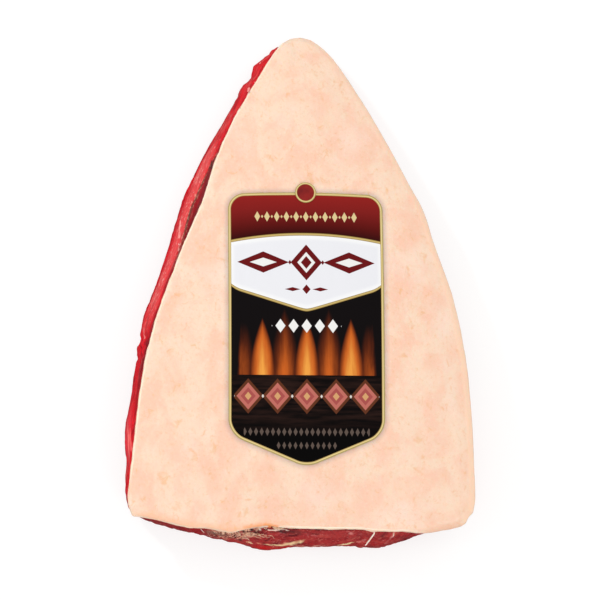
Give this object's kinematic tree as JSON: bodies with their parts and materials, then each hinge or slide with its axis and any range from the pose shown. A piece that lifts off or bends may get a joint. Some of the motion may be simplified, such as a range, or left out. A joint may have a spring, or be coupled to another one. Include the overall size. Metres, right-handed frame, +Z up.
{
  "type": "raw picanha",
  "caption": "Whole raw beef rump cap: a flat rounded triangle of red lean under a thick cream fat cap, lying fat side up, with a printed label on the fat.",
  "frame": {"origin": "centre of the footprint, on the surface that the lean side rests on", "axes": "+Y from the wide cut end towards the tip, +Z up out of the fat cap, +X to the right when the tip points away"},
  "size_m": [0.1864, 0.2812, 0.0486],
  "materials": {
    "lean": "moist dark red muscle with fine grain",
    "fat": "satin cream fat with soft peach mottling",
    "label": "coated card printed in dark red, white, black and gold"
  },
  "bodies": {
    "root": {"lean": "lean", "fat_cap": "fat", "label": "label"}
  },
  "joints": []
}
